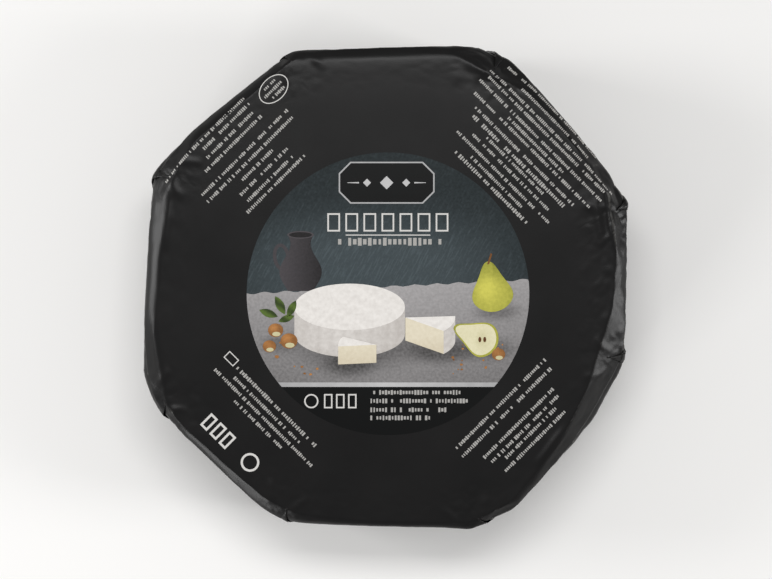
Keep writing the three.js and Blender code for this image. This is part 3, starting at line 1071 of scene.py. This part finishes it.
def drawWheel(layers):
    wheel = picture["wheel"]
    x, depth = wheel["at"]
    rim = circlePoints(wheel["radius"], count=72)
    low, top = (np.array([seen(x + px, depth + py, height) for px, py in rim])
                for height in (0, wheel["height"]))
    left, floorLine = x - wheel["radius"], low[:, 1].min()

    def sideTone(px, py):
        turn = (px - left) / (2 * wheel["radius"])
        foot = 0.16 * float(smooth(1 - (py - floorLine) / 3))
        return 0.66 - 0.42 * abs(turn - 0.42) ** 1.3 + 0.05 * math.sin(px * 2.1) - foot

    def topTone(px, py):
        return 0.90 + 0.03 * math.sin(px * 0.9 + py * 1.7) + 0.03 * math.sin(px * 2.3 - py * 2.9)

    addShape(layers["rind"], refined(hull(np.concatenate([low, top]))), 3, sideTone)
    addShape(layers["rind"], refined(top), 4, topTone)


def drawWedge(layers, wedge, level):
    # a cut piece: point at one end, rind round the other
    x, depth = wedge["at"]
    arc = circlePoints(wedge["radius"], wedge["from"], wedge["to"], 14)
    plan = np.concatenate([[(0, 0)], arc])
    low, top = (np.array([seen(x + px, depth + py, height) for px, py in plan])
                for height in (0, wedge["height"]))
    front = 1 if wedge["from"] < 90 else len(plan) - 1     # the cut that faces the eye
    cut = np.array([low[0], low[front], top[front], top[0]])
    foot = cut[:, 1].min()

    def rindTone(px, py):
        return 0.56 + 0.04 * math.sin(px * 3)

    def cutTone(px, py):
        return 0.62 + 0.3 * float(smooth((py - foot) / 5)) + 0.05 * math.sin(px * 4 + py * 3)

    def topTone(px, py):
        return 0.93 + 0.03 * math.sin(px * 1.7 - py * 2.6)

    addShape(layers["rind"], refined(hull(np.concatenate([low, top]))), level, rindTone)
    addShape(layers["paste"], refined(cut), level + 1, cutTone)
    addShape(layers["rind"], refined(top), level + 2, topTone)


def drawPear(layers, pear, level):
    width, length = pear["size"]
    turn = math.radians(pear["turn"])
    x, y = pear["at"]

    def outlineOf(share):
        made = []
        for t in np.linspace(0, 2 * math.pi, 44, endpoint=False):
            along = -math.cos(t)                   # -1 at the foot, 1 at the stalk
            across = math.sin(t) * (0.78 - 0.30 * along - 0.10 * math.sin(math.pi * along))
            made.append((across * width / 2 * share * 1.18, along * length / 2 * share))
        return placed(np.array(made), (x, y), pear["turn"])

    bodyX, bodyY = x + length * 0.16 * math.sin(turn), y - length * 0.16 * math.cos(turn)

    def skinTone(px, py):
        shine = softSpot(px, py, (bodyX - width * 0.16, bodyY + width * 0.16), (width * 0.30, width * 0.34))
        away = math.hypot(px - bodyX, py - bodyY) / (width * 0.62)
        return 0.70 + 0.28 * shine - 0.42 * float(smooth(away - 0.35)) * (0.6 + 0.4 * float(px > bodyX))

    def fleshTone(px, py):
        return 0.75 - 0.3 * softSpot(px, py, (bodyX, bodyY), (width * 0.22, width * 0.3))

    addShape(layers["fruit"], outlineOf(1), level, skinTone)
    if pear["cut"]:
        addShape(layers["flesh"], outlineOf(0.9), level + 1, fleshTone)
        for side in (-1, 1):
            seed = circlePoints(1, count=12) * (0.34, 0.62) + (bodyX + side * 0.55, bodyY)
            addShape(layers["nut"], seed, level + 2, 0.1)
    else:
        tip = np.array([x - length * 0.47 * math.sin(turn), y + length * 0.47 * math.cos(turn)])
        stalk = np.array([(-0.22, -0.3), (0.22, -0.3), (0.95, 2.0), (0.55, 2.2)]) + tip
        addShape(layers["nut"], stalk, level + 1, 0.25)


def drawLeaves(layers):
    for x, y, length, turn in picture["leaves"]:
        side = np.array([(math.cos(t) * length / 2, math.sin(t) * abs(math.sin(t)) * length * 0.2)
                         for t in np.linspace(0, 2 * math.pi, 24, endpoint=False)])
        leaf = placed(side, (x, y), turn)
        addShape(layers["leaf"], leaf, 5, lambda px, py: 0.5 + 0.35 * math.sin(px * 1.4 + py * 2.2))


def drawNuts(layers):
    for x, y, size in picture["nuts"]:
        shine, reach = (x - size * 0.3, y + size * 0.35), (size * 0.7, size * 0.6)
        nut = circlePoints(1, count=28) * (size, size * 0.9) + (x, y)
        addShape(layers["nut"], nut, 6, lambda px, py: 0.45 + 0.5 * softSpot(px, py, shine, reach))
        cap = circlePoints(1, count=16) * (size * 0.55, size * 0.3) + (x + size * 0.1, y - size * 0.5)
        addShape(layers["flesh"], cap, 7, 0.28)


def drawCrumbs(layers):
    # crumbs of nut shell, each a small uneven chip
    rng = np.random.default_rng(picture["seed"])
    crumbs = picture["crumbs"]
    for _ in range(crumbs["count"]):
        x = rng.uniform(*crumbs["left" if rng.random() < 0.5 else "right"])
        y = rng.uniform(*crumbs["up"])
        size = rng.uniform(*crumbs["size"])
        corners = [(size * rng.uniform(0.6, 1.2) * math.cos(t), size * rng.uniform(0.5, 0.9) * math.sin(t))
                   for t in np.linspace(0, 2 * math.pi, 6, endpoint=False)]
        underWheel = abs(x - picture["wheel"]["at"][0]) < 15 and y > -16
        if math.hypot(x, y) < picture["radius"] - 1.5 and not underWheel:
            addShape(layers["nut"], np.array(corners) + (x, y), 5, rng.uniform(0.2, 0.95))


def drawBand(layers, circle):
    # the dark band at the foot of the picture, and the pale rule over it
    top, rule, radius = picture["bandTop"], picture["ruleWidth"], picture["radius"]
    arc = circle[circle[:, 1] < top]
    half = math.sqrt(radius ** 2 - top ** 2)
    band = np.concatenate([[(-half, top)], arc[np.argsort(arc[:, 0])], [(half, top)]])
    addShape(layers["black"], refined(band), 2, 0.5)
    low, high = top - rule / 2, top + rule / 2
    foot, head = math.sqrt(radius ** 2 - low ** 2), math.sqrt(radius ** 2 - high ** 2)
    ruleShape = np.array([(-foot, low), (foot, low), (head, high), (-head, high)])
    addShape(layers["silver"], refined(ruleShape), 3, lambda px, py: 0.95 - 0.02 * abs(px))


def drawPlaque(layers):
    plaque = picture["plaque"]
    x, y = plaque["at"]
    halfWidth, halfHeight = plaque["half"]

    def plaqueOutline(inset):
        w, h, c = halfWidth - inset, halfHeight - inset, plaque["cut"] - inset * 0.5
        right = [(w, c - h), (w, h - c), (w - c, h)]
        left = [(c - w, h), (-w, h - c), (-w, c - h), (c - w, -h)]
        return refined(np.array([*right, *left, (w - c, -h)]) + (x, y))

    addShape(layers["silver"], plaqueOutline(0), 1, 0.55)
    addShape(layers["black"], plaqueOutline(plaque["line"]), 2, 0.6)
    for shift, size in plaque["diamonds"]:
        diamond = np.array([(size, 0), (0, size), (-size, 0), (0, -size)]) + (x + shift, y)
        addShape(layers["silver"], diamond, 3, 0.95)
    nearHalf, farHalf = plaque["dartHalves"]
    for side in (-1, 1):
        near, far = (x + side * out for out in plaque["darts"])
        dart = [(near, y - nearHalf), (far, y - farHalf), (far, y + farHalf), (near, y + nearHalf)]
        addShape(layers["silver"], dart, 3, 0.9)


def drawPicture():
    layers = {name: bmesh.new() for name in printing["inks"]}
    circle = circlePoints(picture["radius"], count=150)
    addShape(layers["slate"], circle, 0, slateTone)
    # the board below a line that is a little uneven
    height, pace = picture["boardWaves"]
    line = picture["boardEdge"] + picture["boardLean"] * circle[:, 0] + height * np.sin(circle[:, 0] * pace)
    board = np.stack([circle[:, 0], np.minimum(circle[:, 1], line)], 1)
    addShape(layers["board"], board, 1, boardTone, picture["boardMiddle"])
    drawJug(layers)
    drawWheel(layers)
    for place, wedge in enumerate(picture["wedges"]):
        drawWedge(layers, wedge, 5 + 3 * place)
    for pear in picture["pears"]:
        drawPear(layers, pear, 5)
    drawLeaves(layers)
    drawNuts(layers)
    drawCrumbs(layers)
    drawBand(layers, circle)
    drawPlaque(layers)
    for name, bm in layers.items():
        if bm.verts:
            for vertex in bm.verts:
                vertex.co += Vector((*picture["centre"], 0)) * mm
            finishInk("picture_" + name, bm, name, wrap)


drawPicture()
print("picture ready")


# Rows of plain marks where lines of small type go, with rings and boxes. Lengths in mm from the middle of
# the sheet: how far out a row lies along its group's facing, where it starts and ends, and its height.
rowGroups = {
    "upperLeft": {"facing": 135, "along": 45, "rows": [
        (34.05, 8.4, -9.95, 0.8), (35.8, 6.3, -8.1, 0.8), (37.9, 6.3, -8.2, 0.8), (40.0, 3.7, -5.6, 0.8),
        (42.05, 12.6, -14.6, 0.8), (44.0, 12.4, -14.4, 0.8), (47.2, 7.3, -10.6, 0.8), (49.1, 7.5, -7.7, 0.8),
        (51.1, 7.35, -6.8, 0.8), (52.85, 7.4, -18.5, 0.8)]},
    "upperRight": {"facing": 45, "along": -45, "rows": [
        (32.6, 12.3, -10.5, 0.95), (34.3, 9.4, -7.7, 0.75), (36.1, 15.7, -13.5, 0.75),
        (38.1, 13.1, -11.5, 0.75), (39.8, 9.7, -7.8, 0.75), (41.1, 15.0, -13.4, 0.95),
        (42.8, 16.3, -14.4, 0.75), (45.0, 19.3, -17.3, 0.75), (46.4, 9.5, -7.6, 0.75),
        (47.9, 20.1, -18.1, 0.75), (49.8, 19.2, -17.1, 0.75), (51.2, 20.9, -19.4, 0.75),
        (53.2, 11.2, -10.0, 0.75), (55.4, 12.7, -15.9, 0.75)]},
    "lowerLeft": {"facing": 225, "along": -45, "rows": [
        (36.3, -11.5, 13.6, 0.95), (38.3, -9.8, 12.0, 0.8), (40.1, -14.2, 16.2, 0.8),
        (42.0, -6.6, 9.0, 0.8)]},
    "lowerRight": {"facing": 315, "along": 45, "rows": [
        (36.5, -14.7, 13.7, 0.85), (38.8, -14.6, 13.2, 0.85), (42.4, -11.8, 10.3, 0.85),
        (44.3, -11.3, 10.0, 0.85), (45.9, -8.9, 7.7, 0.85), (47.9, -10.0, 8.6, 0.85)]},
    "band": {"facing": 270, "along": 0, "rows": [
        (23.4, -3.4, 16.4, 1.05), (25.3, -3.4, 18.0, 1.05), (27.3, -3.4, 13.2, 1.05),
        (29.1, -3.4, 9.6, 1.05)]},
    "heading": {"facing": 90, "along": 0, "rows": [(10.4, -11.6, 12.0, 1.75)]},
    "oval": {"facing": 135, "along": 45, "rows": [
        (48.2, 11.8, 15.6, 0.75), (49.5, 11.0, 16.4, 0.75), (50.8, 12.2, 15.2, 0.75)]},
}
rowLevel, bandLevel = 3, 4     # how many colours a row may lie over
# outlined marks: the title, rule and number lie from the picture's middle, the others as the rows do
bigMarks = {
    "title": {"y": 16.0, "from": -14.2, "step": 4.05, "count": 7, "size": (2.85, 4.1), "line": 0.36},
    "rule": {"y": 13.15, "half": 9.5, "width": 0.22},
    "number": {"y": -24.1, "across": (-13.4, -10.7, -8.0), "size": (1.9, 3.2), "line": 0.32,
               "ring": -17.2, "radius": 1.6},
    # facing, along, out and place along, then the size or the radii, and the width of the line
    "frames": [(225, -45, 49.4, -6.9, (2.1, 3.7), 0.5), (225, -45, 49.4, -4.0, (2.1, 3.7), 0.5),
               (225, -45, 49.4, -1.1, (2.1, 3.7), 0.5), (225, -45, 35.8, -13.4, (3.0, 2.0), 0.22)],
    "rings": [(225, -45, 49.3, 6.0, (2.1, 2.1), 0.5), (135, 45, 49.5, 13.7, (3.85, 2.7), 0.2)],
}
# the label's print: rows as place up, half length and height, rings as radius and width, and two darts
labelPrint = {
    "rows": [(11.0, 12.0, 1.9), (6.6, 16.5, 1.0), (4.2, 15.0, 1.0), (1.8, 17.0, 1.0), (-0.6, 13.0, 1.0),
             (-8.6, 9.0, 1.0), (-11.0, 7.5, 1.0)],
    "rings": [(25.6, 0.5), (24.6, 0.2)],
    "dart": [(3, -3.9), (12, -4.05), (12, -4.2), (3, -4.35)],
}


def rowPoint(facing, along, out, at):
    return polar(out, facing) + polar(at, along)


def blockMark(level):
    # a solid block one unit wide and high, as deep as the ink
    bm = bmesh.new()
    low, high = inkBase(level)
    for vertex in bmesh.ops.create_cube(bm, size=1)["verts"]:
        vertex.co.z = (low if vertex.co.z < 0 else high) * mm
    return addMesh("block", meshOf("block", bm))


def drawRows(name, lines, on, level, ink="small"):
    # lines are start, end and height
    block = blockMark(level)
    bm = bmesh.new()
    heights = bm.verts.layers.float.new("height")
    for start, end, height in lines:
        ends = [bm.verts.new((*(p * mm), 0)) for p in (start, end)]
        for vertex in ends:
            vertex[heights] = height * mm
        bm.edges.new(ends)
    narrow, wide = printing["letterWidths"]
    marked = (rowsOfMarks, {
        "Mark": block, "Advance": printing["letterAdvance"], "Narrow": narrow, "Wide": wide,
        "Word gaps": printing["wordGaps"], "Seed": printing["seed"]})
    finishInk(name, bm, ink, on, [marked])
    bpy.data.objects.remove(block)


def drawBigMarks():
    marks = bmesh.new()
    title, rule, number = bigMarks["title"], bigMarks["rule"], bigMarks["number"]
    middle = np.array(picture["centre"])
    for i in range(title["count"]):
        x = title["from"] + (i + 0.5) * title["step"]
        addFrame(marks, middle + (x, title["y"]), title["size"], title["line"], bandLevel)
    bar = np.array([(-1, -1), (1, -1), (1, 1), (-1, 1)]) * (rule["half"], rule["width"] / 2) + (0, rule["y"])
    addShape(marks, refined(middle + bar), bandLevel, 0.0)
    for x in number["across"]:
        addFrame(marks, middle + (x, number["y"]), number["size"], number["line"], bandLevel)
    radii = (number["radius"], number["radius"])
    addRing(marks, middle + (number["ring"], number["y"]), radii, number["line"], bandLevel)
    for add, kind in ((addFrame, "frames"), (addRing, "rings")):
        for facing, along, out, at, size, line in bigMarks[kind]:
            add(marks, rowPoint(facing, along, out, at), size, line, 1, along)
    finishInk("plain_marks", marks, "white", wrap)


def drawLabelPrint():
    lines = [(np.array([-half, y]), np.array([half, y]), height) for y, half, height in labelPrint["rows"]]
    drawRows("rows_label", lines, roundLabel, 0, "black")
    marks = bmesh.new()
    for radius, width in labelPrint["rings"]:
        addRing(marks, (0, 0), (radius, radius), width, 0, steps=label["sides"])
    for side in (-1, 1):
        addShape(marks, np.array(labelPrint["dart"]) * (side, 1), 0, 0.5)
    finishInk("label_marks", marks, "black", roundLabel)


for name, group in rowGroups.items():
    facing, along = group["facing"], group["along"]
    lines = [(rowPoint(facing, along, out, start), rowPoint(facing, along, out, end), height)
             for out, start, end, height in group["rows"]]
    drawRows("rows_" + name, lines, wrap, bandLevel if name == "band" else rowLevel)
drawBigMarks()
drawLabelPrint()
print("rows ready")
